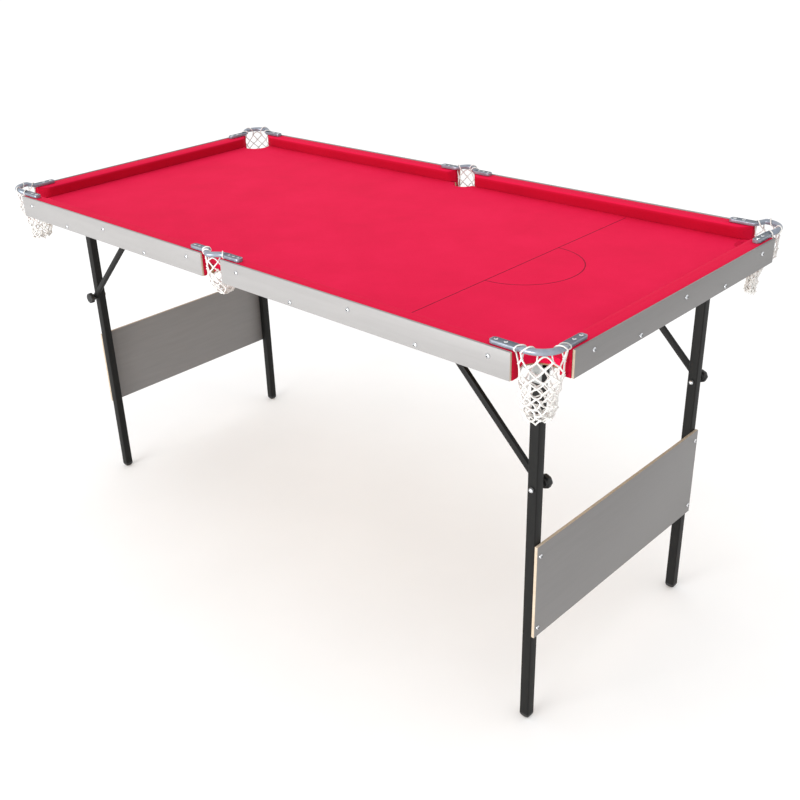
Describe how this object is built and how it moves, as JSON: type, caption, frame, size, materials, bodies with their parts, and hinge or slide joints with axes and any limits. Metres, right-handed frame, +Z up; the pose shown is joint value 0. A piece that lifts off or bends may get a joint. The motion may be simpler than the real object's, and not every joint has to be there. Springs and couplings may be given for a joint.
{
  "type": "folding pool table",
  "caption": "Folding cloth-covered pool table with cushioned rails, open net pockets and two folding braced leg frames.",
  "frame": {"origin": "on the floor under the middle of the bed", "axes": "+Z up, +X along the length of the table, Y across its width"},
  "size_m": [1.52, 0.7846, 0.7853],
  "materials": {
    "laminate": "satin warm grey laminate on board, raw tan edges",
    "cloth": "matt crimson baize",
    "cushion_cloth": "matt crimson baize over rubber",
    "raw_board": "raw fibreboard",
    "pocket_iron": "satin blue-grey metallic",
    "net_cord": "white knotted cord",
    "black_steel": "semi-gloss black powder coat",
    "black_plastic": "moulded black plastic",
    "zinc": "zinc plated"
  },
  "bodies": {
    "table": {"bed_board": "raw_board", "bed_cloth": "cloth", "apron_near_left": "laminate", "apron_near_right": "laminate", "apron_right_end": "laminate", "apron_far_right": "laminate", "apron_far_left": "laminate", "apron_left_end": "laminate", "rail_near_left": "cloth", "rail_near_right": "cloth", "rail_right_end": "cloth", "rail_far_right": "cloth", "rail_far_left": "cloth", "rail_left_end": "cloth", "cushion_near_left": "cushion_cloth", "cushion_near_right": "cushion_cloth", "cushion_right_end": "cushion_cloth", "cushion_far_right": "cushion_cloth", "cushion_far_left": "cushion_cloth", "cushion_left_end": "cushion_cloth", "pocket_iron_near_left": "pocket_iron", "pocket_iron_near_middle": "pocket_iron", "pocket_iron_near_right": "pocket_iron", "pocket_iron_far_right": "pocket_iron", "pocket_iron_far_middle": "pocket_iron", "pocket_iron_far_left": "pocket_iron", "pocket_net_near_left": "net_cord", "pocket_net_near_middle": "net_cord", "pocket_net_near_right": "net_cord", "pocket_net_far_right": "net_cord", "pocket_net_far_middle": "net_cord", "pocket_net_far_left": "net_cord", "leg_bracket_right_near": "zinc", "leg_bracket_right_far": "zinc", "leg_bracket_left_near": "zinc", "leg_bracket_left_far": "zinc", "brace_bracket_right_near": "zinc", "brace_bracket_right_far": "zinc", "brace_bracket_left_near": "zinc", "brace_bracket_left_far": "zinc"},
    "right_leg_frame": {"leg_right_near": "black_steel", "leg_foot_right_near": "black_plastic", "leg_right_far": "black_steel", "leg_foot_right_far": "black_plastic", "leg_board_right": "laminate", "pivot_rod_right": "zinc"},
    "left_leg_frame": {"leg_left_near": "black_steel", "leg_foot_left_near": "black_plastic", "leg_left_far": "black_steel", "leg_foot_left_far": "black_plastic", "leg_board_left": "laminate", "pivot_rod_left": "zinc"},
    "brace_right_near": {"brace_right_near": "black_steel"},
    "knob_right_near": {"clamp_knob_right_near": "black_plastic"},
    "brace_right_far": {"brace_right_far": "black_steel"},
    "knob_right_far": {"clamp_knob_right_far": "black_plastic"},
    "brace_left_near": {"brace_left_near": "black_steel"},
    "knob_left_near": {"clamp_knob_left_near": "black_plastic"},
    "brace_left_far": {"brace_left_far": "black_steel"},
    "knob_left_far": {"clamp_knob_left_far": "black_plastic"}
  },
  "joints": [
    {"name": "right_leg_fold", "type": "hinge", "parent": "table", "child": "right_leg_frame", "pos_m": [0.675, 0, 0.695], "axis": [0, 1, 0], "range_deg": [0, 90]},
    {"name": "brace_right_near_swing", "type": "hinge", "parent": "table", "child": "brace_right_near", "pos_m": [0.447, -0.2671, 0.717], "axis": [0, 1, 0], "range_deg": [0, 135]},
    {"name": "knob_right_near_turn", "type": "hinge", "parent": "right_leg_frame", "child": "knob_right_near", "pos_m": [0.675, -0.2809, 0.49], "axis": [0, 1, 0], "continuous": true},
    {"name": "brace_right_far_swing", "type": "hinge", "parent": "table", "child": "brace_right_far", "pos_m": [0.447, 0.2507, 0.717], "axis": [0, 1, 0], "range_deg": [0, 135]},
    {"name": "knob_right_far_turn", "type": "hinge", "parent": "right_leg_frame", "child": "knob_right_far", "pos_m": [0.675, 0.2369, 0.49], "axis": [0, 1, 0], "continuous": true},
    {"name": "left_leg_fold", "type": "hinge", "parent": "table", "child": "left_leg_frame", "pos_m": [-0.675, 0, 0.695], "axis": [0, -1, 0], "range_deg": [0, 90]},
    {"name": "brace_left_near_swing", "type": "hinge", "parent": "table", "child": "brace_left_near", "pos_m": [-0.447, -0.2507, 0.717], "axis": [0, -1, 0], "range_deg": [0, 135]},
    {"name": "knob_left_near_turn", "type": "hinge", "parent": "left_leg_frame", "child": "knob_left_near", "pos_m": [-0.675, -0.2369, 0.49], "axis": [0, 1, 0], "continuous": true},
    {"name": "brace_left_far_swing", "type": "hinge", "parent": "table", "child": "brace_left_far", "pos_m": [-0.447, 0.2671, 0.717], "axis": [0, -1, 0], "range_deg": [0, 135]},
    {"name": "knob_left_far_turn", "type": "hinge", "parent": "left_leg_frame", "child": "knob_left_far", "pos_m": [-0.675, 0.2809, 0.49], "axis": [0, 1, 0], "continuous": true}
  ],
  "couplings": [
    {"joint": "brace_right_near_swing", "follows": "right_leg_fold", "ratio": 1.5},
    {"joint": "brace_right_far_swing", "follows": "right_leg_fold", "ratio": 1.5},
    {"joint": "brace_left_near_swing", "follows": "left_leg_fold", "ratio": 1.5},
    {"joint": "brace_left_far_swing", "follows": "left_leg_fold", "ratio": 1.5}
  ]
}
